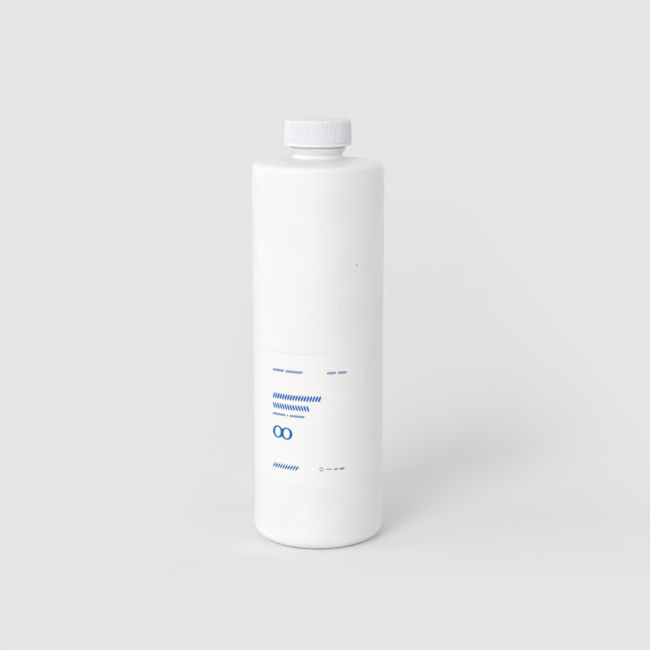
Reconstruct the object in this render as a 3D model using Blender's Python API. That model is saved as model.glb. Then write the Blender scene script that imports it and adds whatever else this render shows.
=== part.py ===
# Refill bottle for liquid hand soap: a blow-moulded cylinder with a screw cap, a liner,
# a paper label and its fill of soap. Metres, +Z up. The origin is the middle of the base
# and the label faces -Y.

import bmesh
import bpy
from math import acos, atan2, ceil, cos, pi, radians, sin, sqrt

# Bottle body
BODY_RADIUS = 0.031
WALL = 0.001
WALL_HEIGHT = 0.1775  # from the base to the top of the straight wall
RIM_RADIUS = 0.003  # rounding between the wall and the shoulder
SHOULDER_DOME = 0.185  # radius of the shallow dome of the shoulder
HEEL_RADIUS = 0.006
FOOT_WIDTH = 0.004  # the flat ring that the bottle stands on
PUSH_UP_STEP = 0.001  # slanted step inside the foot
PUSH_UP_DOME = 0.0015  # rise of the base from the step to its middle

# Neck, bead and finish
FINISH_RADIUS = 0.0125  # wall of the finish, under the thread
FINISH_HEIGHT = 0.00995  # from the bead to the sealing land
NECK_STEP = 0.0013  # how far the neck stands in from the finish
NECK_LENGTH = 0.00045
NECK_FILLET = 0.0012
BEAD_OVERHANG = 0.0004  # how far the bead stands out from the finish
BEAD_TAPER = 0.0023
BEAD_HEIGHT = 0.00105
LAND_CHAMFER = 0.0005

# Thread, right-handed, six turns to the inch
THREAD_PITCH = 0.0254 / 6
THREAD_DEPTH = 0.0012
THREAD_CREST = 0.001  # width of the neck's ridge at its crest
THREAD_FLANK = 0.5  # widening of a ridge for each unit of depth, on each side
THREAD_TOP_MARGIN = 0.0009
THREAD_FOOT_MARGIN = 0.00215
THREAD_FADE = radians(36)  # each end of a ridge sinks into its wall over this angle
THREAD_SINK = 0.0003  # how deep a ridge is rooted in its wall
THREAD_CLEARANCE = 0.00035  # radial, crest to wall
THREAD_GAP = 0.0003  # axial, between the flanks that meet

# Screw cap
CAP_HEIGHT = 0.0118
CAP_WALL = 0.001
CAP_ROOF = 0.0013
CAP_TAPER = 0.00042  # how much wider the skirt is at the bottom
CAP_BAND = 0.0015  # plain band below the ribs
CAP_CORNER = 0.0006  # rounding of the top edge
CAP_CHAMFER = 0.0002
CAP_THREAD_CREST = 0.0008
CAP_THREAD_MARGIN = 0.0005
RIB_COUNT = 100
RIB_DEPTH = 0.0003
RIB_FADE = 0.0002  # height over which a rib rises from the plain wall
RIB_TOP_MARGIN = 0.0002
GATE_RADIUS = 0.0006  # the little nub that moulding leaves in the middle of the top
GATE_HEIGHT = 0.00025

# Liner
LINER_THICKNESS = 0.001
LINER_CHAMFER = 0.00015
SEAT_GAP = 0.0003

# Label, a square of paper wrapped on the wall
LABEL_WIDTH = 0.0635
LABEL_HEIGHT = 0.0635
LABEL_FOOT = 0.031  # height of its lower edge
LABEL_CORNER = 0.0015
LABEL_THICKNESS = 0.00015
LABEL_GAP = 0.0001
LABEL_TURN = radians(-14.7)  # its middle, round the bottle from the front
LABEL_TILT = radians(-0.5)

# Soap
HEADSPACE = 0.0075  # from the soap to the top of the straight wall
SOAP_GAP = 0.0003

# Facets
SEGMENTS = 64  # round the bottle and everything turned
ARC_TOLERANCE = 0.00008  # how far a facet may stand in from the rounding of a profile

# Sizes that follow
NECK_RADIUS = FINISH_RADIUS - NECK_STEP
BORE_RADIUS = NECK_RADIUS - WALL
THREAD_RADIUS = FINISH_RADIUS + THREAD_DEPTH
DOME_CENTRE = WALL_HEIGHT - sqrt((SHOULDER_DOME - RIM_RADIUS) ** 2 - (BODY_RADIUS - RIM_RADIUS) ** 2)
NECK_BASE = DOME_CENTRE + sqrt((SHOULDER_DOME + NECK_FILLET) ** 2 - (NECK_RADIUS + NECK_FILLET) ** 2)
BEAD_BASE = NECK_BASE + NECK_LENGTH
BEAD_TOP = BEAD_BASE + BEAD_TAPER + BEAD_HEIGHT
LAND = BEAD_TOP + FINISH_HEIGHT
LINER_BASE = LAND + SEAT_GAP
CAP_UNDERSIDE = LINER_BASE + LINER_THICKNESS + SEAT_GAP
CAP_BASE = CAP_UNDERSIDE + CAP_ROOF - CAP_HEIGHT
CAP_BORE = THREAD_RADIUS + THREAD_CLEARANCE
CAP_TOP_RADIUS = CAP_BORE + CAP_WALL + RIB_DEPTH
CAP_THREAD_RADIUS = FINISH_RADIUS + THREAD_CLEARANCE


def clear_scene():
    for item in list(bpy.data.objects):
        bpy.data.objects.remove(item, do_unlink=True)


def plastic(name, colour, roughness, transmission=0.0):
    """A Principled material without metal."""
    material = bpy.data.materials.new(name)
    material.use_nodes = True
    shader = material.node_tree.nodes["Principled BSDF"]
    shader.inputs["Base Color"].default_value = (*colour, 1.0)
    shader.inputs["Roughness"].default_value = roughness
    shader.inputs["Metallic"].default_value = 0.0
    shader.inputs["Transmission Weight"].default_value = transmission
    return material


def add_object(name, bm, height=0.0, material=None):
    """An object made of bm, with its origin on the bottle's axis at this height."""
    mesh = bpy.data.meshes.new(name)
    bm.to_mesh(mesh)
    bm.free()
    item = bpy.data.objects.new(name, mesh)
    item.location.z = height
    bpy.context.scene.collection.objects.link(item)
    if material:
        mesh.materials.append(material)
    mesh.shade_smooth()
    mesh.set_sharp_from_angle(angle=radians(30))
    return item


def helper(name, bm, height=0.0):
    """A shape that only cuts or joins another."""
    item = add_object(name, bm, height)
    item.hide_render = True
    item.display_type = "WIRE"
    return item


def combine(item, other, operation):
    boolean = item.modifiers.new(other.name, "BOOLEAN")
    boolean.object = other
    boolean.operation = operation
    boolean.solver = "EXACT"


def arc(centre, radius, start, end):
    """Points (r, z) of an arc, ends included. Angles are from the outward direction."""
    step = 2 * acos(1 - min(1.0, ARC_TOLERANCE / radius))
    steps = max(2, ceil(abs(end - start) / step))
    points = []
    for i in range(steps + 1):
        angle = start + (end - start) * i / steps
        points.append((centre[0] + radius * cos(angle), centre[1] + radius * sin(angle)))
    return points


def turned(outline):
    """A closed turned shape. The outline (r, z) starts and ends on the axis, or is a loop."""
    bm = bmesh.new()
    verts = [bm.verts.new((r, 0.0, z)) for r, z in outline]
    edges = [bm.edges.new(pair) for pair in zip(verts, verts[1:])]
    if outline[0][0] > 0:
        edges.append(bm.edges.new((verts[-1], verts[0])))
    bmesh.ops.spin(
        bm, geom=verts + edges, cent=(0, 0, 0), axis=(0, 0, 1), angle=2 * pi, steps=SEGMENTS, use_merge=True
    )
    bmesh.ops.remove_doubles(bm, verts=bm.verts, dist=1e-6)
    bmesh.ops.recalc_face_normals(bm, faces=bm.faces)
    return bm


def loft(rings):
    """A closed shape through rings of points, with a flat face on the first and the last."""
    bm = bmesh.new()
    rows = [[bm.verts.new(point) for point in ring] for ring in rings]
    for lower, upper in zip(rows, rows[1:]):
        for i in range(len(lower)):
            bm.faces.new((lower[i - 1], lower[i], upper[i], upper[i - 1]))
    bm.faces.new(rows[0])
    bm.faces.new(rows[-1])
    bmesh.ops.recalc_face_normals(bm, faces=bm.faces)
    return bm


def base_outline(inset):
    """The base from its middle to the wall, this far inside the outer skin."""
    shift = inset * (sqrt(2) - 1)
    foot_outer = BODY_RADIUS - HEEL_RADIUS
    foot_inner = foot_outer - FOOT_WIDTH + shift
    dome_edge = foot_inner - PUSH_UP_STEP
    dome_radius = (dome_edge**2 + PUSH_UP_DOME**2) / (2 * PUSH_UP_DOME)
    dome_centre = (0.0, PUSH_UP_STEP + PUSH_UP_DOME + inset - dome_radius)
    dome_steps = 3
    points = [(0.0, PUSH_UP_STEP + PUSH_UP_DOME + inset)]
    for i in range(1, dome_steps + 1):
        r = dome_edge * i / dome_steps
        points.append((r, dome_centre[1] + sqrt(dome_radius**2 - r**2)))
    points.append((foot_inner, inset))
    heel = max(HEEL_RADIUS - inset, SOAP_GAP)
    points += arc((BODY_RADIUS - inset - heel, inset + heel), heel, -pi / 2, 0.0)
    return points


def shoulder_outline(inset):
    """The shoulder from the top of the wall to the neck, this far inside the outer skin."""
    rim = max(RIM_RADIUS - inset, SOAP_GAP)
    reach = BODY_RADIUS - inset - rim
    rise = sqrt((SHOULDER_DOME - inset - rim) ** 2 - reach**2)
    points = arc((reach, DOME_CENTRE + rise), rim, 0.0, atan2(rise, reach))
    fillet = NECK_FILLET + inset
    fillet_centre = (NECK_RADIUS + NECK_FILLET, NECK_BASE)
    contact = atan2(DOME_CENTRE - NECK_BASE, -fillet_centre[0])
    outer = points[-1][0]
    inner = fillet_centre[0] + fillet * cos(contact)
    dome = SHOULDER_DOME - inset
    dome_steps = 3
    for i in range(1, dome_steps):
        r = outer + (inner - outer) * i / dome_steps
        points.append((r, DOME_CENTRE + sqrt(dome**2 - r**2)))
    points += arc(fillet_centre, fillet, contact, -pi)
    return points


def finish_outline():
    """The outside from the bead up, over the sealing land and into the bore."""
    return [
        (NECK_RADIUS, BEAD_BASE),
        (FINISH_RADIUS + BEAD_OVERHANG, BEAD_BASE + BEAD_TAPER),
        (FINISH_RADIUS + BEAD_OVERHANG, BEAD_TOP),
        (FINISH_RADIUS, BEAD_TOP),
        (FINISH_RADIUS, LAND - LAND_CHAMFER),
        (FINISH_RADIUS - LAND_CHAMFER, LAND),
        (BORE_RADIUS + LAND_CHAMFER, LAND),
        (BORE_RADIUS, LAND - LAND_CHAMFER),
    ]


def helix_ridge(wall, crest, crest_width, start_height, start_angle, turns):
    """A thread's ridge on a wall of one radius, up to a crest of another, inside or outside it."""
    side = 1 if crest > wall else -1
    root = wall - side * THREAD_SINK
    end = start_angle + turns * 2 * pi
    steps = ceil(SEGMENTS * turns)
    rings = []
    for i in range(steps + 1):
        angle = start_angle + (end - start_angle) * i / steps
        height = start_height + THREAD_PITCH * (angle - start_angle) / (2 * pi)
        fade = min(1.0, (angle - start_angle) / THREAD_FADE, (end - angle) / THREAD_FADE)
        top = root + side * THREAD_SINK / 3
        top += (crest - top) * sin(fade * pi / 2)
        half_crest = crest_width / 2
        half_root = half_crest + THREAD_FLANK * abs(top - root)
        section = [
            (root, -half_root),
            (top, -half_crest),
            (top, half_crest),
            (root, half_root),
        ]
        rings.append([(r * cos(angle), r * sin(angle), height + z) for r, z in section])
    return loft(rings)


def neck_thread_range():
    """Heights of the middle of the neck's ridge at its lower and upper end."""
    half_root = THREAD_CREST / 2 + THREAD_FLANK * THREAD_DEPTH
    return BEAD_TOP + THREAD_FOOT_MARGIN + half_root, LAND - THREAD_TOP_MARGIN - half_root


def make_bottle():
    inner = base_outline(WALL) + shoulder_outline(WALL)
    outer = base_outline(0.0) + shoulder_outline(0.0) + finish_outline()
    bottle = add_object("bottle", turned(outer + inner[::-1]), material=plastic("bottle", (0.9, 0.9, 0.89), 0.38))
    low, high = neck_thread_range()
    turns = (high - low) / THREAD_PITCH
    thread = helper("neck_thread", helix_ridge(FINISH_RADIUS, THREAD_RADIUS, THREAD_CREST, low, 0.0, turns))
    combine(bottle, thread, "UNION")
    return bottle


def skirt_ring(height, ridge, valley):
    """One ring of the cap's outside, with a ridge and a valley for each rib."""
    points = []
    for i in range(2 * RIB_COUNT):
        angle = pi * i / RIB_COUNT
        r = valley if i % 2 else ridge
        points.append((r * cos(angle), r * sin(angle), height))
    return points


def skirt_radius(height):
    """Radius of the cap's ridges at a height above its lower edge."""
    return CAP_TOP_RADIUS + CAP_TAPER * (1 - height / (CAP_HEIGHT - CAP_CORNER))


def cap_outside():
    corner = CAP_HEIGHT - CAP_CORNER
    rib_end = corner - RIB_TOP_MARGIN
    rings = []
    for height, depth, inward in (
        (0.0, 0.0, CAP_CHAMFER),
        (CAP_CHAMFER, 0.0, 0.0),
        (CAP_BAND, 0.0, 0.0),
        (CAP_BAND + RIB_FADE, RIB_DEPTH, 0.0),
        (rib_end - RIB_FADE, RIB_DEPTH, 0.0),
        (rib_end, RIB_DEPTH / 2, RIB_DEPTH / 2),
    ):
        r = skirt_radius(height) - inward
        rings.append(skirt_ring(height, r, r - depth))
    top = skirt_radius(corner) - RIB_DEPTH
    for r, z in arc((top - CAP_CORNER, corner), CAP_CORNER, 0.0, pi / 2):
        rings.append(skirt_ring(z, r, r))
    return loft(rings)


def cap_hollow():
    """What is cut out of the cap: its bore, open below."""
    underside = CAP_HEIGHT - CAP_ROOF
    below = -CAP_BAND
    outline = [
        (0.0, below),
        (CAP_BORE + CAP_CHAMFER - below, below),
        (CAP_BORE, CAP_CHAMFER),
        (CAP_BORE, underside - LAND_CHAMFER),
        (CAP_BORE - LAND_CHAMFER / 2, underside),
        (0.0, underside),
    ]
    return turned(outline)


def gate_nub():
    """The nub on the cap's top, rooted in its roof."""
    edge = CAP_HEIGHT + GATE_HEIGHT
    outline = [
        (0.0, CAP_HEIGHT - CAP_ROOF / 2),
        (GATE_RADIUS, CAP_HEIGHT - CAP_ROOF / 2),
        (GATE_RADIUS, edge - GATE_HEIGHT / 2),
        (GATE_RADIUS / 2, edge),
        (0.0, edge),
    ]
    return turned(outline)


def make_cap():
    cap = add_object("screw_cap", cap_outside(), CAP_BASE, plastic("screw_cap", (0.86, 0.87, 0.88), 0.42))
    combine(cap, helper("gate_nub", gate_nub(), CAP_BASE), "UNION")
    combine(cap, helper("cap_hollow", cap_hollow(), CAP_BASE), "DIFFERENCE")
    overlap = THREAD_RADIUS - CAP_THREAD_RADIUS
    drop = (THREAD_CREST + CAP_THREAD_CREST) / 2 + THREAD_FLANK * overlap + THREAD_GAP
    low, high = neck_thread_range()
    half_root = CAP_THREAD_CREST / 2 + THREAD_FLANK * (CAP_BORE - CAP_THREAD_RADIUS)
    start = CAP_BASE + CAP_THREAD_MARGIN + half_root
    turns = (high - drop - start) / THREAD_PITCH
    angle = 2 * pi * (start - (low - drop)) / THREAD_PITCH
    ridge = helix_ridge(CAP_BORE, CAP_THREAD_RADIUS, CAP_THREAD_CREST, start - CAP_BASE, angle, turns)
    combine(cap, helper("cap_thread", ridge, CAP_BASE), "UNION")
    return cap


def make_liner():
    radius = CAP_BORE - THREAD_CLEARANCE
    outline = [
        (0.0, 0.0),
        (radius - LINER_CHAMFER, 0.0),
        (radius, LINER_CHAMFER),
        (radius, LINER_THICKNESS - LINER_CHAMFER),
        (radius - LINER_CHAMFER, LINER_THICKNESS),
        (0.0, LINER_THICKNESS),
    ]
    return add_object("cap_liner", turned(outline), LINER_BASE, plastic("cap_liner", (0.82, 0.82, 0.8), 0.7))


def label_outline():
    """The flat label's outline round its middle, with rounded corners."""
    points = []
    x = LABEL_WIDTH / 2 - LABEL_CORNER
    z = LABEL_HEIGHT / 2 - LABEL_CORNER
    for quarter, centre in enumerate(((x, z), (-x, z), (-x, -z), (x, -z))):
        start = quarter * pi / 2
        points += arc(centre, LABEL_CORNER, start, start + pi / 2)
    return points


def make_label():
    bm = bmesh.new()
    bm.faces.new([bm.verts.new((x, 0.0, z)) for x, z in label_outline()])
    columns = ceil(SEGMENTS * LABEL_WIDTH / (2 * pi * BODY_RADIUS))
    for i in range(1, columns):
        place = (LABEL_WIDTH * (i / columns - 0.5), 0, 0)
        everything = bm.verts[:] + bm.edges[:] + bm.faces[:]
        bmesh.ops.bisect_plane(bm, geom=everything, plane_co=place, plane_no=(1, 0, 0), dist=1e-6)
    radius = BODY_RADIUS + LABEL_GAP
    middle = LABEL_FOOT + LABEL_HEIGHT / 2
    for vert in bm.verts:
        across = vert.co.x * cos(LABEL_TILT) - vert.co.z * sin(LABEL_TILT)
        up = vert.co.x * sin(LABEL_TILT) + vert.co.z * cos(LABEL_TILT)
        angle = LABEL_TURN + across / radius
        vert.co = (radius * sin(angle), -radius * cos(angle), middle + up)
    label = add_object("label", bm, material=plastic("label", (0.9, 0.89, 0.87), 0.55))
    sheet = label.modifiers.new("thickness", "SOLIDIFY")
    sheet.thickness = LABEL_THICKNESS
    sheet.offset = 1.0
    return label


def make_soap():
    inset = WALL + SOAP_GAP
    level = WALL_HEIGHT - HEADSPACE
    outline = base_outline(inset) + [(BODY_RADIUS - inset, level), (0.0, level)]
    return add_object("soap_fill", turned(outline), material=plastic("soap_fill", (0.85, 0.8, 0.62), 0.1, 0.6))


def main():
    clear_scene()
    bottle = make_bottle()
    make_label().parent = bottle
    make_soap().parent = bottle
    make_liner().parent = bottle
    make_cap().parent = bottle


main()
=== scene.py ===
from math import atan2, ceil, cos, degrees, pi, radians, sin, sqrt, tan

import bpy
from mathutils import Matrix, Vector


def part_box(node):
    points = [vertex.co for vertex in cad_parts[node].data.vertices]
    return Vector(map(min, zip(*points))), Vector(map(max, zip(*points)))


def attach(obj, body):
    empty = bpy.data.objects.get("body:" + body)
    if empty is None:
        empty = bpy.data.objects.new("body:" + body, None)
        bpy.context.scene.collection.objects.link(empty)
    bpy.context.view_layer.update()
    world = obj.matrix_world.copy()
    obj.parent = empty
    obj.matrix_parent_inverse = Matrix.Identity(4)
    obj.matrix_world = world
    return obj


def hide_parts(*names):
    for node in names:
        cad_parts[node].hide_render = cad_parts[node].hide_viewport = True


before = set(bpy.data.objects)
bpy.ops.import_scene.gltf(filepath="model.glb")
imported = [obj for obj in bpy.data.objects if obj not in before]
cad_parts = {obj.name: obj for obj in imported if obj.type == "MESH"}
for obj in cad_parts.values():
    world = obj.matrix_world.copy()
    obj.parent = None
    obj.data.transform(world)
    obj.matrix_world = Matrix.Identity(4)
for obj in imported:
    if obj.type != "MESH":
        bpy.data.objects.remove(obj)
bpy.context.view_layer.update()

# Hand soap refill bottle with a ribbed screw cap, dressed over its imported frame.
# Metres, +Z up, the label faces -Y. Every piece keeps its place in its mesh.
# In the dictionaries, "sharp" is the turn in degrees past which an edge stays sharp.

mm = 0.001
mergeDistance = 0.001 * mm
print("frame loaded:", ", ".join(sorted(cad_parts)))


# Small tools for modelling

def deselectAll():
    if bpy.context.mode != "OBJECT":
        bpy.ops.object.mode_set(mode="OBJECT")
    bpy.ops.object.select_all(action="DESELECT")


def pick(piece):
    deselectAll()
    piece.select_set(True)
    bpy.context.view_layer.objects.active = piece


# Opens a piece in edit mode with nothing selected
def openPiece(piece, kind):
    pick(piece)
    bpy.ops.object.mode_set(mode="EDIT")
    bpy.ops.mesh.select_mode(type=kind)
    bpy.ops.mesh.select_all(action="DESELECT")


# Selects, in edit mode, the faces whose middle passes the test
def selectFaces(piece, test):
    openPiece(piece, "FACE")
    bpy.ops.object.mode_set(mode="OBJECT")
    count = 0
    for face in piece.data.polygons:
        face.select = test(face.center)
        count += face.select
    bpy.ops.object.mode_set(mode="EDIT")
    return count


# Points (r, z) along an arc, angles in degrees from the outward direction
def arcPoints(centre, radius, start, end, steps):
    points = []
    for i in range(steps + 1):
        angle = radians(start + (end - start) * i / steps)
        points.append((centre[0] + radius * cos(angle), centre[1] + radius * sin(angle)))
    return points


# An outline through corners (r, z, rounding)
def roundCorners(corners, steps=4):
    points = []
    for i, (r, z, rounding) in enumerate(corners):
        if rounding == 0 or i in (0, len(corners) - 1):
            points.append((r, z))
            continue
        before = (corners[i - 1][0] - r, corners[i - 1][1] - z)
        after = (corners[i + 1][0] - r, corners[i + 1][1] - z)
        b = atan2(before[1], before[0])
        a = atan2(after[1], after[0])
        opening = (a - b + pi) % (2 * pi) - pi
        half = opening / 2
        reach = rounding / abs(sin(half))
        centre = (r + reach * cos(b + half), z + reach * sin(b + half))
        side = 1 if half > 0 else -1
        start = b - side * pi / 2
        turn = side * (pi - abs(opening))
        for k in range(steps + 1):
            angle = start - turn * k / steps
            points.append((centre[0] + rounding * cos(angle), centre[1] + rounding * sin(angle)))
    return points


# Draws an outline (r, z) by extruding a point, then spins it round the bottle's axis
def turnOutline(name, outline, steps):
    deselectAll()
    bpy.ops.mesh.primitive_plane_add(size=mm, location=(outline[0][0], 0, outline[0][1]))
    piece = bpy.context.object
    piece.name = name
    bpy.ops.object.mode_set(mode="EDIT")
    bpy.ops.mesh.select_mode(type="VERT")
    bpy.ops.mesh.select_all(action="SELECT")
    bpy.ops.mesh.merge(type="CENTER")
    for (r0, z0), (r1, z1) in zip(outline, outline[1:]):
        bpy.ops.mesh.extrude_region_move(TRANSFORM_OT_translate={"value": (r1 - r0, 0, z1 - z0)})
    bpy.ops.mesh.select_all(action="SELECT")
    bpy.ops.mesh.spin(steps=steps, angle=2 * pi, center=(0, 0, 0), axis=(0, 0, 1))
    bpy.ops.mesh.select_all(action="SELECT")
    bpy.ops.mesh.remove_doubles(threshold=mergeDistance)
    bpy.ops.mesh.normals_make_consistent(inside=False)
    bpy.ops.object.mode_set(mode="OBJECT")
    bpy.ops.object.transform_apply(location=True, rotation=True, scale=True)
    return piece


# Gives a sheet its thickness, outwards. The sheet is the active object.
def thicken(sheet, thickness):
    solid = sheet.modifiers.new("thickness", "SOLIDIFY")
    solid.thickness = thickness
    solid.offset = 1
    bpy.ops.object.modifier_apply(modifier="thickness")


def smooth(piece, sharp):
    pick(piece)
    bpy.ops.object.shade_smooth_by_angle(angle=radians(sharp))


def dress(piece, body, slot, material, *nodes):
    piece.data.materials.clear()
    piece.data.materials.append(material)
    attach(piece, body)
    if nodes:
        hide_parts(*nodes)


# Small tools for materials

# How far either side of a half a noise goes before a colour or a roughness reaches its end
tightSpread = 0.15
looseSpread = 0.2


def newMaterial(name):
    material = bpy.data.materials.new(name)
    material.use_nodes = True
    nodes = material.node_tree.nodes
    return material, nodes, material.node_tree.links, nodes["Principled BSDF"]


def setInputs(node, values):
    for socket, value in values.items():
        node.inputs[socket].default_value = value


def splitAxes(nodes, links, vector):
    node = nodes.new("ShaderNodeSeparateXYZ")
    links.new(vector, node.inputs["Vector"])
    return node.outputs


def addNoise(nodes, links, coordinates, scale, detail, roughness=0.5, stretch=None):
    noise = nodes.new("ShaderNodeTexNoise")
    setInputs(noise, {"Scale": scale, "Detail": detail, "Roughness": roughness})
    if stretch:
        mapping = nodes.new("ShaderNodeMapping")
        setInputs(mapping, {"Scale": stretch})
        links.new(coordinates, mapping.inputs["Vector"])
        coordinates = mapping.outputs["Vector"]
    links.new(coordinates, noise.inputs["Vector"])
    return noise.outputs["Fac"]


def mapRange(nodes, links, source, low, high, toLow, toHigh):
    node = nodes.new("ShaderNodeMapRange")
    setInputs(node, {"From Min": low, "From Max": high, "To Min": toLow, "To Max": toHigh})
    links.new(source, node.inputs["Value"])
    return node.outputs["Result"]


def spreadNoise(nodes, links, noise, spread=looseSpread, ends=(0, 1)):
    return mapRange(nodes, links, noise, 0.5 - spread, 0.5 + spread, *ends)


# Mixes two colours, each a plain (r, g, b) or the output of another node
def mixColours(nodes, links, factor, first, second):
    node = nodes.new("ShaderNodeMix")
    node.data_type = "RGBA"
    links.new(factor, node.inputs["Factor"])
    for socket, colour in (("A", first), ("B", second)):
        if isinstance(colour, tuple):
            node.inputs[socket].default_value = (*colour, 1)
        else:
            links.new(colour, node.inputs[socket])
    return node.outputs["Result"]


def addMath(nodes, links, operation, *sources):
    node = nodes.new("ShaderNodeMath")
    node.operation = operation
    for source, socket in zip(sources, node.inputs):
        links.new(source, socket)
    return node.outputs[0]


# Chains bumps of (height, distance, strength) into the shader's normal
def addBump(nodes, links, shader, heights):
    last = None
    for height, distance, strength in heights:
        bump = nodes.new("ShaderNodeBump")
        setInputs(bump, {"Distance": distance, "Strength": strength})
        links.new(height, bump.inputs["Height"])
        if last:
            links.new(last, bump.inputs["Normal"])
        last = bump.outputs["Normal"]
    links.new(last, shader.inputs["Normal"])


# Materials. "light" and "dark" are the ends of a colour, "rough" those of a roughness, and a bump
# is its depth and its strength. "glow" is how much light goes under the skin, "reach" how far.

plasticTexture = {
    "clouds": {"scale": 60, "detail": 4},
    "sheen": {"scale": 220, "detail": 5, "roughness": 0.6},
    "waves": {"scale": 38, "detail": 1, "roughness": 0.4, "stretch": (1, 1, 0.35)},
    "grain": {"scale": 4200, "detail": 2, "roughness": 0.6},
    "seamEdge": (0.06 * mm, 0.2 * mm), "refraction": 1.49,
}

plasticLook = {
    "bottle": {
        "light": (0.84, 0.831, 0.83), "dark": (0.82, 0.811, 0.81), "rough": (0.30, 0.42),
        "shine": 0.33, "glow": 0.45, "reach": 1.3 * mm,
        "wavesBump": (0.06 * mm, 1), "grainBump": (0.004 * mm, 0.6), "seamBump": (0.02 * mm, 1),
    },
    "cap": {
        "light": (0.81, 0.82, 0.84), "dark": (0.79, 0.80, 0.82), "rough": (0.46, 0.58),
        "shine": 0.25, "glow": 0.1, "reach": 0.5 * mm,
        "wavesBump": (0.01 * mm, 1), "grainBump": (0.003 * mm, 0.6), "seamBump": None,
    },
}


# White moulded plastic: faint clouding, gentle waves, a fine mould grain and, on the blown
# bottle, a mould seam down its two sides
def mouldedPlastic(name, look, texture=plasticTexture):
    material, nodes, links, shader = newMaterial(name)
    place = nodes.new("ShaderNodeTexCoord").outputs["Object"]
    clouds = spreadNoise(nodes, links, addNoise(nodes, links, place, **texture["clouds"]), tightSpread)
    links.new(mixColours(nodes, links, clouds, look["light"], look["dark"]), shader.inputs["Base Color"])
    sheen = addNoise(nodes, links, place, **texture["sheen"])
    links.new(spreadNoise(nodes, links, sheen, ends=look["rough"]), shader.inputs["Roughness"])
    waves = addNoise(nodes, links, place, **texture["waves"])
    grain = addNoise(nodes, links, place, **texture["grain"])
    bumps = [(waves, *look["wavesBump"]), (grain, *look["grainBump"])]
    if look["seamBump"]:
        aside = addMath(nodes, links, "ABSOLUTE", splitAxes(nodes, links, place)["Y"])
        seam = mapRange(nodes, links, aside, *texture["seamEdge"], 1, 0)
        bumps.append((seam, *look["seamBump"]))
    addBump(nodes, links, shader, bumps)
    setInputs(shader, {
        "IOR": texture["refraction"], "Specular IOR Level": look["shine"],
        "Subsurface Weight": look["glow"], "Subsurface Radius": (look["reach"],) * 3, "Subsurface Scale": 1,
    })
    return material


# The foot and the edge are shares of the label's height and width, where each starts and ends. The colour
# along the foot is painted shade, standing for the shadow under the label's bottom edge.
paperLook = {
    "light": (0.832, 0.822, 0.811), "dark": (0.817, 0.807, 0.796), "rough": (0.38, 0.5),
    "fibres": {"scale": 900, "detail": 6, "roughness": 0.65}, "fibresBump": (0.012 * mm, 0.6),
    "ripples": {"scale": 260, "detail": 1, "roughness": 0.4, "stretch": (1, 1, 0.45)},
    "ripplesBump": (0.4 * mm, 0.5), "edge": (0.93, 0.985),
    "foot": (0.004, 0.010), "footShadeColour": (0.81, 0.788, 0.75),
}


# Coated white paper with a fine fibre, a warm painted shade along its foot for the shadow its bottom edge
# casts, and a right edge that ripples
def labelPaper(name, look=paperLook):
    material, nodes, links, shader = newMaterial(name)
    coordinates = nodes.new("ShaderNodeTexCoord").outputs
    flat = splitAxes(nodes, links, coordinates["UV"])
    fibres = addNoise(nodes, links, coordinates["Object"], **look["fibres"])
    paper = mixColours(nodes, links, spreadNoise(nodes, links, fibres), look["light"], look["dark"])
    # Painted shade: the paper darkens to a warm tone towards its foot, standing for the shadow under the
    # label's bottom edge
    foot = mapRange(nodes, links, flat["Y"], *look["foot"], 1, 0)
    links.new(mixColours(nodes, links, foot, paper, look["footShadeColour"]), shader.inputs["Base Color"])
    links.new(spreadNoise(nodes, links, fibres, ends=look["rough"]), shader.inputs["Roughness"])
    ripples = addNoise(nodes, links, coordinates["Object"], **look["ripples"])
    edge = mapRange(nodes, links, flat["X"], *look["edge"], 0, 1)
    lifted = addMath(nodes, links, "MULTIPLY", ripples, edge)
    addBump(nodes, links, shader, [(fibres, *look["fibresBump"]), (lifted, *look["ripplesBump"])])
    return material


inkLook = {
    "dark": (0.001, 0.130, 0.430), "light": (0.002, 0.155, 0.475), "rough": (0.35, 0.5), "shine": 0.06,
    "patches": {"scale": 1600, "detail": 4, "roughness": 0.6},
}


# Blue ink that lies a little unevenly on the paper
def printInk(name, look=inkLook):
    material, nodes, links, shader = newMaterial(name)
    place = nodes.new("ShaderNodeTexCoord").outputs["Object"]
    patches = addNoise(nodes, links, place, **look["patches"])
    colour = mixColours(nodes, links, spreadNoise(nodes, links, patches), look["dark"], look["light"])
    links.new(colour, shader.inputs["Base Color"])
    links.new(spreadNoise(nodes, links, patches, ends=look["rough"]), shader.inputs["Roughness"])
    setInputs(shader, {"Specular IOR Level": look["shine"]})
    return material


linerLook = {
    "dark": (0.80, 0.80, 0.78), "light": (0.88, 0.88, 0.87), "rough": (0.6, 0.8),
    "cellScale": 3500, "cellEdge": 0.7, "cellsBump": (0.03 * mm, 0.7),
}


# White foam with fine cells
def foamLiner(name, look=linerLook):
    material, nodes, links, shader = newMaterial(name)
    place = nodes.new("ShaderNodeTexCoord").outputs["Object"]
    texture = nodes.new("ShaderNodeTexVoronoi")
    setInputs(texture, {"Scale": look["cellScale"]})
    links.new(place, texture.inputs["Vector"])
    cells = texture.outputs["Distance"]
    links.new(mixColours(nodes, links, cells, look["dark"], look["light"]), shader.inputs["Base Color"])
    rough = mapRange(nodes, links, cells, 0, look["cellEdge"], *look["rough"])
    links.new(rough, shader.inputs["Roughness"])
    addBump(nodes, links, shader, [(cells, *look["cellsBump"])])
    return material


soapLook = {
    "light": (0.83, 0.79, 0.63), "dark": (0.78, 0.73, 0.55), "rough": (0.06, 0.14),
    "swirls": {"scale": 45, "detail": 4, "roughness": 0.6}, "glow": 0.4, "reach": (6 * mm, 5 * mm, 3 * mm),
}


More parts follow.
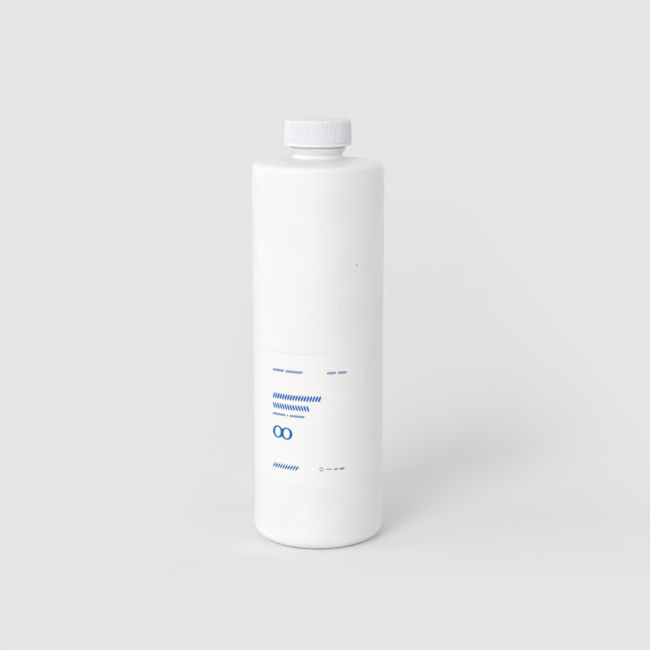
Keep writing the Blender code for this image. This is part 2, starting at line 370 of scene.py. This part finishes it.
# Pale, pearly liquid
def soapLiquid(name, look=soapLook):
    material, nodes, links, shader = newMaterial(name)
    place = nodes.new("ShaderNodeTexCoord").outputs["Object"]
    swirls = addNoise(nodes, links, place, **look["swirls"])
    blend = spreadNoise(nodes, links, swirls, tightSpread)
    links.new(mixColours(nodes, links, blend, look["light"], look["dark"]), shader.inputs["Base Color"])
    links.new(spreadNoise(nodes, links, swirls, ends=look["rough"]), shader.inputs["Roughness"])
    setInputs(shader, {
        "Subsurface Weight": look["glow"], "Subsurface Radius": look["reach"], "Subsurface Scale": 1,
    })
    return material


dustLook = {"grit": {"scale": 5000, "detail": 3}, "shade": 0.7, "rough": 0.8}


def dustSpeck(name, colour, look=dustLook):
    material, nodes, links, shader = newMaterial(name)
    place = nodes.new("ShaderNodeTexCoord").outputs["Object"]
    grit = addNoise(nodes, links, place, **look["grit"])
    dark = tuple(look["shade"] * c for c in colour)
    links.new(mixColours(nodes, links, grit, colour, dark), shader.inputs["Base Color"])
    setInputs(shader, {"Roughness": look["rough"]})
    return material


bottlePlastic = mouldedPlastic("bottlePlastic", plasticLook["bottle"])
capPlastic = mouldedPlastic("capPlastic", plasticLook["cap"])
paper = labelPaper("labelPaper")
ink = printInk("printInk")
print("materials made")


# Bottle: a blown wall with a domed shoulder, a short neck and a threaded finish

bottleSizes = {
    "radius": 31 * mm, "wall": 1 * mm, "wallHeight": 177.5 * mm, "rim": 3 * mm, "dome": 185 * mm,
    "heel": 6 * mm, "footWidth": 4 * mm, "pushStep": 1 * mm, "pushDome": 1.5 * mm,
    "neckRadius": 11.2 * mm, "neckLength": 0.1 * mm, "neckFillet": 2.2 * mm, "neckJoin": 0.02 * mm,
    "finishRadius": 12.5 * mm, "finishHeight": 9.95 * mm,
    "beadOverhang": 0.4 * mm, "beadTaper": 1.717 * mm, "beadHeight": 1.05 * mm, "beadRise": 0.3 * mm,
    "roundings": {
        "beadFoot": 0.35 * mm, "beadLow": 0.5 * mm, "beadHigh": 0.22 * mm, "finishFoot": 0.12 * mm,
        "landOut": 0.45 * mm, "landIn": 0.4 * mm,
    },
    "pieces": {"push": 6, "heel": 12, "rim": 10, "dome": 8, "fillet": 7}, "steps": 192, "sharp": 40,
}


# From the middle of the base to the foot of the neck, this far inside the outer skin. The step
# into the push-up climbs at 45 degrees, so it starts further out on an inset skin, by tan(45 / 2).
def bottleSkin(inset, s=bottleSizes):
    pieces = s["pieces"]
    footOuter = s["radius"] - s["heel"]
    footInner = footOuter - s["footWidth"] + inset * tan(pi / 8)
    domeEdge = footInner - s["pushStep"]
    middle = s["pushStep"] + s["pushDome"] + inset
    domeRadius = (domeEdge ** 2 + s["pushDome"] ** 2) / (2 * s["pushDome"])
    points = [(0, middle)]
    for i in range(1, pieces["push"] + 1):
        r = domeEdge * i / pieces["push"]
        points.append((r, middle - domeRadius + sqrt(domeRadius ** 2 - r ** 2)))
    points.append((footInner, inset))
    points += arcPoints((footOuter, s["heel"]), s["heel"] - inset, -90, 0, pieces["heel"])
    reach = s["radius"] - s["rim"]
    rise = sqrt((s["dome"] - s["rim"]) ** 2 - reach ** 2)
    domeCentre = s["wallHeight"] - rise
    rimEnd = degrees(atan2(rise, reach))
    points += arcPoints((reach, s["wallHeight"]), s["rim"] - inset, 0, rimEnd, pieces["rim"])
    fillet = s["neckFillet"] + inset
    side = s["neckRadius"] + s["neckFillet"]
    neckBase = domeCentre + sqrt((s["dome"] + s["neckFillet"]) ** 2 - side ** 2)
    contact = degrees(atan2(domeCentre - neckBase, -side))
    outer = points[-1][0]
    inner = side + fillet * cos(radians(contact))
    for i in range(1, pieces["dome"]):
        r = outer + (inner - outer) * i / pieces["dome"]
        points.append((r, domeCentre + sqrt((s["dome"] - inset) ** 2 - r ** 2)))
    points += arcPoints((side, neckBase), fillet, contact, -180, pieces["fillet"])
    return points


def makeBottle(s=bottleSizes):
    outer = bottleSkin(0)
    inner = bottleSkin(s["wall"])
    neckBase = outer[-1][1]
    beadBase = neckBase + s["neckLength"]
    beadTop = beadBase + s["beadTaper"] + s["beadHeight"]
    ledge = beadTop + s["beadRise"]
    land = beadTop + s["finishHeight"]
    bore = s["neckRadius"] - s["wall"]
    bead = s["finishRadius"] + s["beadOverhang"]
    roundings = s["roundings"]
    finish = roundCorners([
        (s["neckRadius"], neckBase + s["neckJoin"], 0),
        (s["neckRadius"], beadBase, roundings["beadFoot"]),
        (bead, beadBase + s["beadTaper"], roundings["beadLow"]),
        (bead, ledge, roundings["beadHigh"]),
        (s["finishRadius"], ledge, roundings["finishFoot"]),
        (s["finishRadius"], land, roundings["landOut"]),
        (bore, land, roundings["landIn"]),
        (bore, beadTop, 0),
    ])
    bottle = turnOutline("bottleShell", outer + finish + inner[::-1], s["steps"])
    smooth(bottle, s["sharp"])
    return bottle, beadTop, land


bottle, beadTop, land = makeBottle()
dress(bottle, "bottle", "bottle", bottlePlastic, "bottle")
print("bottle made:", len(bottle.data.polygons), "faces, land at", round(land / mm, 2))


# Thread: a ridge that climbs the neck, and one in the cap that sits just under it.
# A ridge's ends, found by their turn in degrees and their height, are sunk and fade into the ridge.

threadSizes = {
    "pitch": 25.4 * mm / 6, "depth": 1.2 * mm, "crest": 1.0 * mm, "capCrest": 0.8 * mm, "flank": 0.5,
    "edge": 0.18 * mm, "edgeSteps": 3, "sink": 0.25 * mm, "clearance": 0.35 * mm, "gap": 0.3 * mm,
    "topMargin": 0.9 * mm, "footMargin": 2.15 * mm, "capMargin": 0.5 * mm, "perTurn": 128,
    "fade": 4 * mm, "endSink": 0.3 * mm, "endHeight": 1.6 * mm, "endTurn": 1, "sharp": 50,
}


# A ridge on a wall, screwed up the axis from a flat section, its ends sunk into the wall
def screwRidge(name, wall, crest, crestWidth, start, startAngle, turns, t=threadSizes):
    side = 1 if crest > wall else -1
    root = wall - side * t["sink"]
    half = crestWidth / 2
    foot = half + t["flank"] * abs(crest - root)
    deselectAll()
    bpy.ops.mesh.primitive_plane_add(size=2, location=(0, 0, 0), rotation=(pi / 2, 0, 0))
    ridge = bpy.context.object
    ridge.name = name
    bpy.ops.object.transform_apply(rotation=True)
    section = {    # from the plane's corners to those of the ridge
        (-1, -1): (root, -foot), (-1, 1): (root, foot),
        (1, -1): (crest, -half), (1, 1): (crest, half),
    }
    for vert in ridge.data.vertices:
        r, z = section[(round(vert.co.x), round(vert.co.z))]
        vert.co = (r, 0, z)
    bpy.ops.object.mode_set(mode="EDIT")
    bpy.ops.mesh.select_all(action="SELECT")
    bpy.ops.mesh.delete(type="ONLY_FACE")
    bpy.ops.mesh.select_all(action="SELECT")
    bpy.ops.mesh.bevel(offset=t["edge"], segments=t["edgeSteps"], affect="VERTICES")
    bpy.ops.object.mode_set(mode="OBJECT")
    screw = ridge.modifiers.new("screw", "SCREW")
    screw.angle = turns * 2 * pi
    screw.screw_offset = turns * t["pitch"]
    screw.steps = screw.render_steps = int(turns * t["perTurn"])
    screw.use_merge_vertices = False
    bpy.ops.object.modifier_apply(modifier="screw")
    ridge.rotation_euler.z = startAngle
    ridge.location.z = start
    bpy.ops.object.transform_apply(location=True, rotation=True)
    inward = (wall - side * t["endSink"]) / crest
    for end in (0, turns):
        sinkEnd(ridge, startAngle + end * 2 * pi, start + t["pitch"] * end, inward)
    openPiece(ridge, "EDGE")
    bpy.ops.mesh.select_non_manifold()
    bpy.ops.mesh.edge_face_add()
    bpy.ops.mesh.select_all(action="SELECT")
    bpy.ops.mesh.normals_make_consistent(inside=False)
    bpy.ops.object.mode_set(mode="OBJECT")
    smooth(ridge, t["sharp"])
    return ridge


# Draws one end of a ridge into its wall, with a soft fall-off along the ridge
def sinkEnd(ridge, angle, height, factor, t=threadSizes):
    openPiece(ridge, "VERT")
    bpy.ops.object.mode_set(mode="OBJECT")
    for vert in ridge.data.vertices:
        turned = (atan2(vert.co.y, vert.co.x) - angle + pi) % (2 * pi) - pi
        vert.select = abs(turned) < radians(t["endTurn"]) and abs(vert.co.z - height) < t["endHeight"]
    bpy.ops.object.mode_set(mode="EDIT")
    bpy.ops.transform.resize(value=(factor, factor, 1), center_override=(0, 0, height),
                             use_proportional_edit=True, use_proportional_connected=True,
                             proportional_edit_falloff="SMOOTH", proportional_size=t["fade"])
    bpy.ops.object.mode_set(mode="OBJECT")


def makeNeckThread(t=threadSizes):
    wall = bottleSizes["finishRadius"]
    halfRoot = t["crest"] / 2 + t["flank"] * t["depth"]
    low = beadTop + t["footMargin"] + halfRoot
    high = land - t["topMargin"] - halfRoot
    turns = (high - low) / t["pitch"]
    return screwRidge("neckThread", wall, wall + t["depth"], t["crest"], low, 0, turns), low, high


neckThread, threadLow, threadHigh = makeNeckThread()
dress(neckThread, "bottle", "bottle", bottlePlastic)


# Cap: a ribbed skirt over a plain band, with a flat top and the nub of its moulding gate.
# The liner sits between the cap's underside and the bottle's land, with a seat's gap on each side.

capSizes = {
    "height": 11.8 * mm, "wall": 0.85 * mm, "roof": 1.3 * mm, "taper": 0.42 * mm,
    "band": 1.5 * mm, "bandSlope": 0.25 * mm, "mouthWidth": 0.25 * mm, "mouthHeight": 0.4 * mm,
    "nubRadius": 0.6 * mm, "nubTop": 0.36 * mm, "nubHeight": 0.249 * mm, "nubFoot": 0.1 * mm,
    "ribs": 100, "ribDepth": 0.45 * mm, "ribLand": 0.1 * mm, "ribEdge": 0.06 * mm, "ribEdgeSteps": 2,
    "ribStop": 0.65 * mm, "ribTurn": 0.5,
    "roundings": {
        "nub": 0.1 * mm, "nubFoot": 0.05 * mm, "top": 0.45 * mm, "band": 0.08 * mm, "foot": 0.2 * mm,
        "mouth": 0.1 * mm, "roof": 0.5 * mm,
    },
    "liner": 1.0 * mm, "seat": 0.3 * mm, "sharp": 50,
}


def makeCap(c=capSizes, t=threadSizes):
    underside = land + c["liner"] + 2 * c["seat"]
    base = underside + c["roof"] - c["height"]
    bore = bottleSizes["finishRadius"] + t["depth"] + t["clearance"]
    topSkin = bore + c["wall"]
    top = base + c["height"]
    ribLow = base + c["band"]
    ribHigh = top - c["ribStop"]
    roundings = c["roundings"]

    def skin(z):
        return topSkin + c["taper"] * (top - z) / c["height"]

    outline = roundCorners([
        (0, top + c["nubHeight"], 0),
        (c["nubTop"], top + c["nubHeight"], roundings["nub"]),
        (c["nubRadius"], top + c["nubFoot"], roundings["nub"]),
        (c["nubRadius"] + c["nubFoot"], top, roundings["nubFoot"]),
        (skin(top), top, roundings["top"]),
        (skin(ribHigh), ribHigh, 0),
        (skin(ribLow), ribLow, 0),
        (skin(ribLow) + c["ribDepth"], ribLow - c["bandSlope"], roundings["band"]),
        (skin(base) + c["ribDepth"], base, roundings["foot"]),
        (bore + c["mouthWidth"], base, roundings["mouth"]),
        (bore, base + c["mouthHeight"], 0),
        (bore, underside, roundings["roof"]),
        (0, underside, 0),
    ])
    cap = turnOutline("capShell", outline, 2 * c["ribs"])
    columnTurn = pi / c["ribs"]

    # Every other column of the skirt's outer wall is a rib
    def isRib(middle):
        column = int((atan2(middle.y, middle.x) % (2 * pi)) / columnTurn)
        outside = sqrt(middle.x ** 2 + middle.y ** 2) > topSkin - c["wall"] / 2
        return column % 2 == 0 and ribLow < middle.z < ribHigh and outside

    found = selectFaces(cap, isRib)
    bpy.ops.mesh.inset(thickness=c["ribLand"], depth=c["ribDepth"],
                       use_individual=True, use_even_offset=True)
    bpy.ops.mesh.bevel(offset=c["ribEdge"], segments=c["ribEdgeSteps"], affect="EDGES")
    bpy.ops.object.mode_set(mode="OBJECT")
    cap.rotation_euler.z = radians(c["ribTurn"])
    bpy.ops.object.transform_apply(rotation=True)
    smooth(cap, c["sharp"])
    return cap, base, bore, top, found


cap, capBase, bore, capTop, ribsFound = makeCap()
dress(cap, "cap", "screw_cap", capPlastic, "screw_cap")
print("cap made:", ribsFound, "ribs,", len(cap.data.polygons), "faces, top at", round(capTop / mm, 2))


def makeCapThread(t=threadSizes):
    crest = bottleSizes["finishRadius"] + t["clearance"]
    overlap = bottleSizes["finishRadius"] + t["depth"] - crest
    drop = (t["crest"] + t["capCrest"]) / 2 + t["flank"] * overlap + t["gap"]
    halfRoot = t["capCrest"] / 2 + t["flank"] * (bore - crest)
    start = capBase + t["capMargin"] + halfRoot
    turns = (threadHigh - drop - start) / t["pitch"]
    angle = 2 * pi * (start - (threadLow - drop)) / t["pitch"]
    return screwRidge("capThread", bore, crest, t["capCrest"], start, angle, turns)


capThread = makeCapThread()
dress(capThread, "cap", "screw_cap", capPlastic)
print("threads made")


# Liner and soap

linerSizes = {"edge": 0.15 * mm, "steps": 128, "sharp": 35}


def makeLiner(s=linerSizes):
    radius = bore - threadSizes["clearance"]
    low = land + capSizes["seat"]
    high = low + capSizes["liner"]
    outline = roundCorners([(0, low, 0), (radius, low, s["edge"]), (radius, high, s["edge"]), (0, high, 0)])
    liner = turnOutline("linerDisc", outline, s["steps"])
    smooth(liner, s["sharp"])
    return liner


dress(makeLiner(), "liner", "cap_liner", foamLiner("foamLiner"), "cap_liner")


# The soap creeps up the wall a little at its edge, to the level that the frame gives
soapSizes = {
    "gap": 0.3 * mm, "sideHeight": 1 * mm, "creep": 0.5 * mm, "creepWidth": 1.2 * mm,
    "steps": 96, "sharp": 35,
}


def makeSoap(s=soapSizes):
    inset = bottleSizes["wall"] + s["gap"]
    radius = bottleSizes["radius"] - inset
    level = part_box("soap_fill")[1].z
    surface = level - s["creep"]
    sideFoot = level - s["sideHeight"]
    below = [point for point in bottleSkin(inset) if point[1] < sideFoot]
    outline = below + roundCorners([
        (radius, sideFoot, 0),
        (radius, level, 0),
        (radius - s["creepWidth"], surface, s["creep"]),
        (0, surface, 0),
    ])
    soap = turnOutline("soapBody", outline, s["steps"])
    smooth(soap, s["sharp"])
    return soap


dress(makeSoap(), "bottle", "soap", soapLiquid("soapLiquid"), "soap_fill")
print("liner and soap made")


# Label: a square of paper on the front, with generic marks in blue

labelSizes = {
    "width": 63.5 * mm, "height": 63.5 * mm, "thickness": 0.12 * mm, "corner": 1.5 * mm, "cornerSteps": 6,
    "foot": 31 * mm, "gap": 0.01 * mm, "turn": -14.7, "tilt": -0.5, "bendStep": 1.2 * mm, "sharp": 30,
}


# A flat face in the XZ plane through the outline (x, z), facing -Y
def flatShape(name, outline):
    deselectAll()
    bpy.ops.mesh.primitive_circle_add(vertices=len(outline), radius=1, fill_type="NGON",
                                      location=(0, 0, 0), rotation=(pi / 2, 0, 0))
    shape = bpy.context.object
    shape.name = name
    bpy.ops.object.transform_apply(rotation=True)
    for vert, (x, z) in zip(shape.data.vertices, outline):
        vert.co = (x, 0, z)
    return shape


def sideLimits(shape):
    across = [vert.co.x for vert in shape.data.vertices]
    return min(across), max(across)


# Cuts a flat shape into upright strips, so that it can bend
def sliceAcross(shape, step):
    pick(shape)
    left, right = sideLimits(shape)
    count = ceil((right - left) / step)
    bpy.ops.object.mode_set(mode="EDIT")
    for i in range(1, count):
        bpy.ops.mesh.select_all(action="SELECT")
        bpy.ops.mesh.bisect(plane_co=(left + (right - left) * i / count, 0, 0), plane_no=(1, 0, 0))
    bpy.ops.object.mode_set(mode="OBJECT")


# Bends a flat shape round the bottle and turns it to the label's place
def wrapOnBottle(shape, radius, s=labelSizes):
    pick(shape)
    shape.rotation_euler.y = -radians(s["tilt"])
    bpy.ops.object.transform_apply(rotation=True)
    left, right = sideLimits(shape)
    bend = shape.modifiers.new("bend", "SIMPLE_DEFORM")
    bend.deform_method = "BEND"
    bend.deform_axis = "Z"
    bend.angle = (right - left) / radius
    bpy.ops.object.modifier_apply(modifier="bend")
    shape.location = (0, -radius, 0)
    bpy.ops.object.transform_apply(location=True)
    shape.rotation_euler.z = radians(s["turn"])
    shape.location.z = s["foot"] + s["height"] / 2
    bpy.ops.object.transform_apply(location=True, rotation=True)


def makeLabel(s=labelSizes):
    x = s["width"] / 2 - s["corner"]
    z = s["height"] / 2 - s["corner"]
    outline = []
    for quarter, centre in enumerate(((x, -z), (x, z), (-x, z), (-x, -z))):
        outline += arcPoints(centre, s["corner"], -90 + 90 * quarter, 90 * quarter, s["cornerSteps"])
    label = flatShape("labelSheet", outline)
    sliceAcross(label, s["bendStep"])
    for loop in label.data.loops:
        co = label.data.vertices[loop.vertex_index].co
        label.data.uv_layers[0].data[loop.index].uv = (co.x / s["width"] + 0.5, co.z / s["height"] + 0.5)
    wrapOnBottle(label, bottleSizes["radius"] + s["gap"])
    thicken(label, s["thickness"])
    smooth(label, s["sharp"])
    return label


label = makeLabel()
dress(label, "bottle", "label", paper, "label")
print("label made:", len(label.data.polygons), "faces")


# Marks on the label: rows of small leaves, a pair of linked rings and a sprig.
# Places are in mm from the label's middle, across and up.

markSizes = {
    "rows": [
        {"left": -15.15, "words": (6.4, 8.3), "foot": 22.75, "height": 1.4,
         "leaf": 0.55, "step": 0.7, "lean": 24},
        {"left": 11.95, "words": (4.2, 4.1), "foot": 22.75, "height": 1.4,
         "leaf": 0.53, "step": 0.7, "lean": 24},
        {"left": -15.15, "words": (24.6,), "foot": 9.7, "height": 2.95,
         "leaf": 1.06, "step": 1.36, "lean": 18},
        {"left": -15.15, "words": (19.0,), "foot": 5.0, "height": 2.95,
         "leaf": 0.98, "step": 1.36, "lean": -18},
        {"left": -15.15, "words": (7.0, 0.6, 7.3), "foot": 1.85, "height": 1.25,
         "leaf": 0.53, "step": 0.66, "lean": 24},
        {"left": -14.9, "words": (13.8,), "foot": -23.75, "height": 2.7,
         "leaf": 0.82, "step": 1.38, "lean": 30},
        {"left": 15.7, "words": (1.8, 2.4), "foot": -22.95, "height": 1.05,
         "leaf": 0.52, "step": 0.6, "lean": 24},
    ],
    "rings": {
        "places": ((-12.1, -6.0), (-7.2, -6.3)), "over": 0.004,
        "wide": 6.1, "tall": 5.9, "thick": 1.42, "thin": 0.68,
    },
    "strokes": [
        {"left": -15.1, "length": 14.2, "middle": -22.4, "line": 0.13, "swing": 0.22, "waves": 1.5},
        {"left": 11.9, "length": 2.8, "middle": -22.35, "line": 0.21, "swing": 0, "waves": 1},
    ],
    "drop": {"place": (9.8, -22.3), "wide": 1.75, "tall": 2.1, "thick": 0.3, "thin": 0.3},
    "wordGap": 0.95, "lift": 0.015, "leafPoints": 14, "ringPoints": 64, "strokePieces": 48,
}


# One slanted leaf, copied along the words of a row
def leafRow(row, m=markSizes):
    shear = tan(radians(row["lean"]))
    outline = []
    for k in range(m["leafPoints"]):
        turn = 2 * pi * k / m["leafPoints"]
        up = row["height"] * sin(turn) / 2
        across = row["leaf"] * cos(turn) / 2 + shear * up
        outline.append((across * mm, (row["foot"] + row["height"] / 2 + up) * mm))
    places = []
    left = row["left"]
    for length in row["words"]:
        count = max(1, round(length / row["step"]))
        places += [left + row["step"] * (i + 0.5) for i in range(count)]
        left += length + m["wordGap"]
    leaves = [flatShape("leaf", outline)]
    while len(leaves) < len(places):
        pick(leaves[0])
        bpy.ops.object.duplicate()
        leaves.append(bpy.context.object)
    for leaf, place in zip(leaves, places):
        pick(leaf)
        leaf.location.x = place * mm
        bpy.ops.object.transform_apply(location=True)
    return leaves


# An upright oval ring, thick at its sides and thin at its top and foot
def ringShape(size, place, over=0, points=markSizes["ringPoints"]):
    deselectAll()
    bpy.ops.mesh.primitive_circle_add(vertices=points, radius=1, rotation=(pi / 2, 0, 0))
    ring = bpy.context.object
    ring.name = "ring"
    bpy.ops.object.transform_apply(rotation=True)
    outer = (size["wide"] / 2 * mm, 1, size["tall"] / 2 * mm)
    inner = (1 - 2 * size["thick"] / size["wide"], 1, 1 - 2 * size["thin"] / size["tall"])
    bpy.ops.object.mode_set(mode="EDIT")
    bpy.ops.mesh.select_all(action="SELECT")
    bpy.ops.transform.resize(value=outer, center_override=(0, 0, 0))
    bpy.ops.mesh.extrude_region_move()
    bpy.ops.transform.resize(value=inner, center_override=(0, 0, 0))
    bpy.ops.mesh.select_all(action="SELECT")
    bpy.ops.mesh.normals_make_consistent(inside=False)
    bpy.ops.transform.translate(value=(place[0] * mm, -over * mm, place[1] * mm))
    bpy.ops.object.mode_set(mode="OBJECT")
    return ring


# A level or gently waving stroke of ink
def strokeShape(stroke, pieces=markSizes["strokePieces"]):
    deselectAll()
    bpy.ops.mesh.primitive_grid_add(x_subdivisions=pieces, y_subdivisions=1, size=1,
                                    rotation=(pi / 2, 0, 0))
    line = bpy.context.object
    line.name = "stroke"
    bpy.ops.object.transform_apply(rotation=True)
    for vert in line.data.vertices:
        along = vert.co.x + 0.5
        side = 1 if vert.co.z > 0 else -1
        wave = stroke["swing"] * sin(2 * pi * stroke["waves"] * along)
        vert.co.x = (stroke["left"] + stroke["length"] * along) * mm
        vert.co.z = (stroke["middle"] + wave + side * stroke["line"]) * mm
    return line


def makeMarks(m=markSizes):
    marks = []
    for row in m["rows"]:
        marks += leafRow(row)
    for i, place in enumerate(m["rings"]["places"]):
        marks.append(ringShape(m["rings"], place, i * m["rings"]["over"]))
    for stroke in m["strokes"]:
        marks.append(strokeShape(stroke))
    marks.append(ringShape(m["drop"], m["drop"]["place"]))
    for mark in marks:
        if sum(face.normal.y for face in mark.data.polygons) > 0:
            pick(mark)
            bpy.ops.object.mode_set(mode="EDIT")
            bpy.ops.mesh.select_all(action="SELECT")
            bpy.ops.mesh.flip_normals()
            bpy.ops.object.mode_set(mode="OBJECT")
    deselectAll()
    for mark in marks:
        mark.select_set(True)
    bpy.context.view_layer.objects.active = marks[0]
    bpy.ops.object.join()
    joined = bpy.context.object
    joined.name = "labelPrint"
    wrapOnBottle(joined, bottleSizes["radius"] + labelSizes["gap"] + labelSizes["thickness"])
    thicken(joined, m["lift"] * mm)
    return joined


labelPrint = makeMarks()
dress(labelPrint, "bottle", "print", ink)
print("marks made:", len(labelPrint.data.polygons), "faces")


# Dust on the wall, one dark speck and a faint one

speckShape = {"stretch": (0.9, 0.22, 1.1), "detail": 3, "crumple": 0.05 * mm, "sharp": 60}
specks = [
    {"name": "darkSpeck", "colour": (0.10, 0.09, 0.08),
     "turn": 34.7, "height": 135.6 * mm, "size": 0.33 * mm},
    {"name": "faintSpeck", "colour": (0.45, 0.44, 0.42),
     "turn": 19.0, "height": 116.3 * mm, "size": 0.20 * mm},
]


def makeSpeck(speck, seed, shape=speckShape):
    angle = radians(speck["turn"])
    r = bottleSizes["radius"]
    place = (r * sin(angle), -r * cos(angle), speck["height"])
    deselectAll()
    bpy.ops.mesh.primitive_ico_sphere_add(subdivisions=shape["detail"], radius=speck["size"],
                                          location=place)
    grain = bpy.context.object
    grain.name = speck["name"]
    grain.scale = shape["stretch"]
    grain.rotation_euler.z = angle
    bpy.ops.object.transform_apply(location=True, rotation=True, scale=True)
    bpy.ops.object.mode_set(mode="EDIT")
    bpy.ops.mesh.select_all(action="SELECT")
    bpy.ops.transform.vertex_random(offset=shape["crumple"], seed=seed)
    bpy.ops.object.mode_set(mode="OBJECT")
    smooth(grain, shape["sharp"])
    dress(grain, "bottle", "print", dustSpeck(speck["name"], speck["colour"]))


for seed, speck in enumerate(specks):
    makeSpeck(speck, seed)
print("specks made")


# Camera, at the photograph's viewing angle

cameraSetup = {
    "side": 3.24 * mm, "back": 747.6 * mm, "height": 249.2 * mm, "pitch": 11.09,
    "lens": 88.52, "sensor": 36, "near": 0.01, "far": 50,
}


def makeCamera(c=cameraSetup):
    deselectAll()
    bpy.ops.object.camera_add(location=(c["side"], -c["back"], c["height"]),
                              rotation=(radians(90 - c["pitch"]), 0, 0))
    camera = bpy.context.object
    camera.data.lens = c["lens"]
    camera.data.sensor_width = c["sensor"]
    camera.data.clip_start = c["near"]
    camera.data.clip_end = c["far"]
    bpy.context.scene.camera = camera


makeCamera()


# Studio: a pale floor in a ring of soft lights, strongest from the front left.
# Of the lights only the mirrored one shows in the gloss, beside the white all round.
# The floor's own shading gives way between each "clear" pair on its axis and the "far" pair of distances.

studio = {
    "backdrop": (0.785, 0.785, 0.787), "softboxes": (1, 1, 1),
    "floor": (0.92, 0.92, 0.92), "floorSize": 8, "floorRough": 0.9,
    "clear": {"left": ("X", -0.033, -0.07), "right": ("X", 0.11, 0.20), "front": ("Y", -0.030, -0.07)},
    "far": (0.4, 1.5),
    "suns": [
        {"name": "frontSun", "turn": 0, "rise": 10, "spread": 30, "power": 0.48},
        {"name": "keySun", "turn": -30, "rise": 35, "spread": 30, "power": 0.88},
        {"name": "lowKeySun", "turn": -30, "rise": 10, "spread": 30, "power": 1.0},
        {"name": "leftSun", "turn": -75, "rise": 35, "spread": 40, "power": 0.58},
        {"name": "backLeftSun", "turn": -120, "rise": 10, "spread": 30, "power": 0.70},
        {"name": "backSun", "turn": 180, "rise": 65, "spread": 50, "power": 0.52},
        {"name": "topSun", "turn": 180, "rise": 85, "spread": 50, "power": 0.38},
        {"name": "backRightSun", "turn": 120, "rise": 10, "spread": 30, "power": 0.90},
        {"name": "rightSun", "turn": 60, "rise": 35, "spread": 40, "power": 0.58},
    ],
    "mirrored": "keySun", "sunHeight": 1,
}


# The floor shades truly round the object and its shadow, and takes the backdrop's tone elsewhere
def makeFloor(s=studio):
    deselectAll()
    bpy.ops.mesh.primitive_plane_add(size=s["floorSize"], location=(0, 0, 0))
    floor = bpy.context.object
    floor.name = "studioFloor"
    material, nodes, links, shader = newMaterial("studioFloor")
    setInputs(shader, {
        "Base Color": (*s["floor"], 1), "Roughness": s["floorRough"], "Specular IOR Level": 0,
    })
    glow = nodes.new("ShaderNodeEmission")
    setInputs(glow, {"Color": (*s["backdrop"], 1)})
    place = nodes.new("ShaderNodeTexCoord").outputs["Object"]
    distance = nodes.new("ShaderNodeVectorMath")
    distance.operation = "LENGTH"
    links.new(place, distance.inputs[0])
    axes = splitAxes(nodes, links, place)
    clear = mapRange(nodes, links, distance.outputs["Value"], *s["far"], 0, 1)
    for axis, start, end in s["clear"].values():
        side = mapRange(nodes, links, axes[axis], start, end, 0, 1)
        clear = addMath(nodes, links, "MAXIMUM", clear, side)
    path = nodes.new("ShaderNodeLightPath")
    seen = addMath(nodes, links, "MULTIPLY", clear, path.outputs["Is Camera Ray"])
    mix = nodes.new("ShaderNodeMixShader")
    links.new(seen, mix.inputs["Fac"])
    links.new(shader.outputs["BSDF"], mix.inputs[1])
    links.new(glow.outputs["Emission"], mix.inputs[2])
    links.new(mix.outputs["Shader"], nodes["Material Output"].inputs["Surface"])
    floor.data.materials.append(material)


# The world lights nothing. The camera sees it as the backdrop, and the gloss as softboxes.
def makeWorld(s=studio):
    world = bpy.data.worlds.new("studioLight")
    bpy.context.scene.world = world
    world.use_nodes = True
    nodes = world.node_tree.nodes
    links = world.node_tree.links
    background = nodes["Background"]
    setInputs(background, {"Strength": 0})
    path = nodes.new("ShaderNodeLightPath")
    last = background.outputs["Background"]
    rays = {
        "Is Glossy Ray": s["softboxes"],
        "Is Transmission Ray": s["backdrop"],
        "Is Camera Ray": s["backdrop"],
    }
    for ray, colour in rays.items():
        seen = nodes.new("ShaderNodeBackground")
        setInputs(seen, {"Color": (*colour, 1)})
        mix = nodes.new("ShaderNodeMixShader")
        links.new(path.outputs[ray], mix.inputs["Fac"])
        links.new(last, mix.inputs[1])
        links.new(seen.outputs["Background"], mix.inputs[2])
        last = mix.outputs["Shader"]
    links.new(last, nodes["World Output"].inputs["Surface"])


def makeSun(sun, s=studio):
    deselectAll()
    bpy.ops.object.light_add(type="SUN", location=(0, 0, s["sunHeight"]),
                             rotation=(radians(90 - sun["rise"]), 0, radians(sun["turn"])))
    light = bpy.context.object
    light.name = sun["name"]
    light.data.angle = radians(sun["spread"])
    light.data.energy = sun["power"]
    light.visible_glossy = sun["name"] == s["mirrored"]


makeFloor()
makeWorld()
for sun in studio["suns"]:
    makeSun(sun)
bpy.context.scene.view_settings.view_transform = "Standard"
print("studio made")
